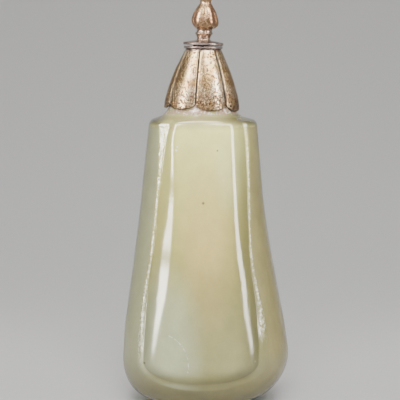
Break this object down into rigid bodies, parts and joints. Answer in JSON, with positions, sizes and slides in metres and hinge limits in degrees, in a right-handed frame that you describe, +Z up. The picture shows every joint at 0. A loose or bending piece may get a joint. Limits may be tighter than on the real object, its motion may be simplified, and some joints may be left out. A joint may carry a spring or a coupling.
{
  "type": "perfume bottle",
  "caption": "Carved jade perfume bottle with raised tongue-shaped panels, a silver-gilt petal mount hugging the neck and a stopper that lifts off.",
  "frame": {"origin": "middle of the flat underside, on the middle line of the bottle", "axes": "+Z up through the stopper, -Y out of the front panel, +X to the right as seen from the front"},
  "size_m": [0.0464, 0.041, 0.1154],
  "materials": {
    "jade": "polished, waxy",
    "gilt": "worn satin gilding over silver"
  },
  "bodies": {
    "root": {"jade_body": "jade", "petal_mount": "gilt", "stopper": "gilt"}
  },
  "joints": []
}
